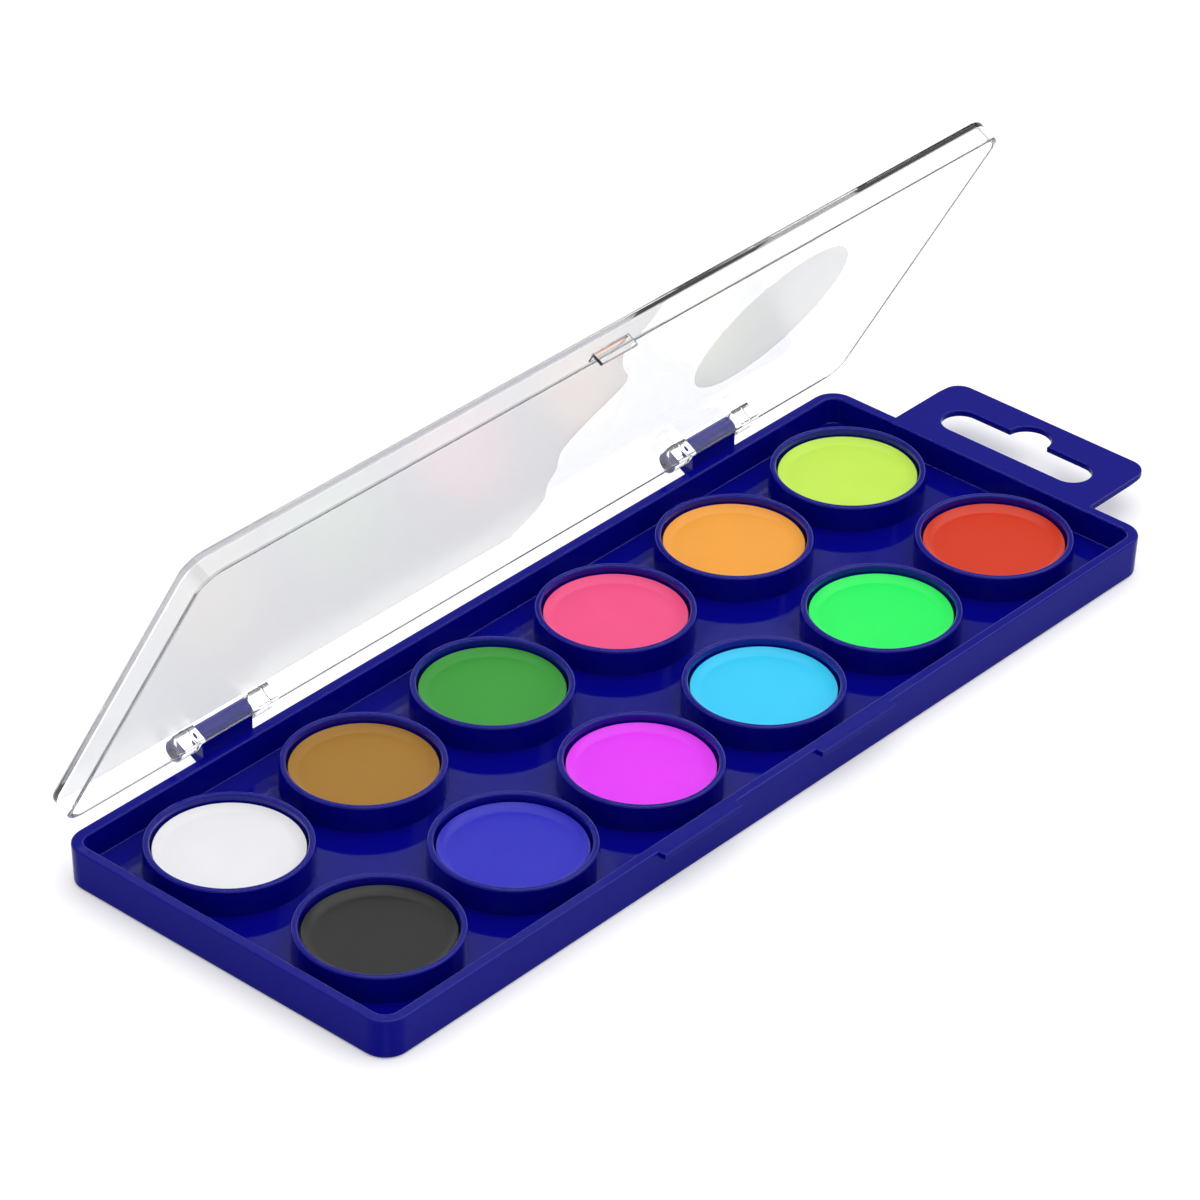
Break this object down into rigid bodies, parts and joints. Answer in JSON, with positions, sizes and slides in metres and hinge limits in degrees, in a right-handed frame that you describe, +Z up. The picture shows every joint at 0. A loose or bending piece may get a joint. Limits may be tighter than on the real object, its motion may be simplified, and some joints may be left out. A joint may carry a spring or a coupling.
{
  "type": "watercolour paint box",
  "caption": "Shallow plastic tray with round wells holding watercolour cakes, a clear hinged lid with a latch, and a slotted hang tab at one end.",
  "frame": {"origin": "centre of the tray's underside, in the plane that the box stands on", "axes": "+X along the tray's long side towards the hang tab, +Y from the latch side towards the hinges, +Z up"},
  "size_m": [0.2035, 0.0744, 0.0723],
  "materials": {
    "tray": "glossy moulded",
    "lid": "clear, polished",
    "black_paint": "pressed dry paint, slight sheen",
    "ultramarine_paint": "pressed dry paint, slight sheen",
    "magenta_paint": "pressed dry paint, slight sheen",
    "cyan_paint": "pressed dry paint, slight sheen",
    "bright_green_paint": "pressed dry paint, slight sheen",
    "red_paint": "pressed dry paint, slight sheen",
    "white_paint": "pressed dry paint, slight sheen",
    "ochre_paint": "pressed dry paint, slight sheen",
    "green_paint": "pressed dry paint, slight sheen",
    "pink_paint": "pressed dry paint, slight sheen",
    "orange_paint": "pressed dry paint, slight sheen",
    "lime_paint": "pressed dry paint, slight sheen"
  },
  "bodies": {
    "tray_body": {"tray": "tray", "black_cake": "black_paint", "ultramarine_cake": "ultramarine_paint", "magenta_cake": "magenta_paint", "cyan_cake": "cyan_paint", "bright_green_cake": "bright_green_paint", "red_cake": "red_paint", "white_cake": "white_paint", "ochre_cake": "ochre_paint", "green_cake": "green_paint", "pink_cake": "pink_paint", "orange_cake": "orange_paint", "lime_cake": "lime_paint"},
    "lid_body": {"lid": "lid"}
  },
  "joints": [
    {"name": "lid_hinge", "type": "hinge", "parent": "tray_body", "child": "lid_body", "pos_m": [0, 0.0365, 0.0096], "axis": [1, 0, 0], "range_deg": [-123.6, 61.4]}
  ]
}
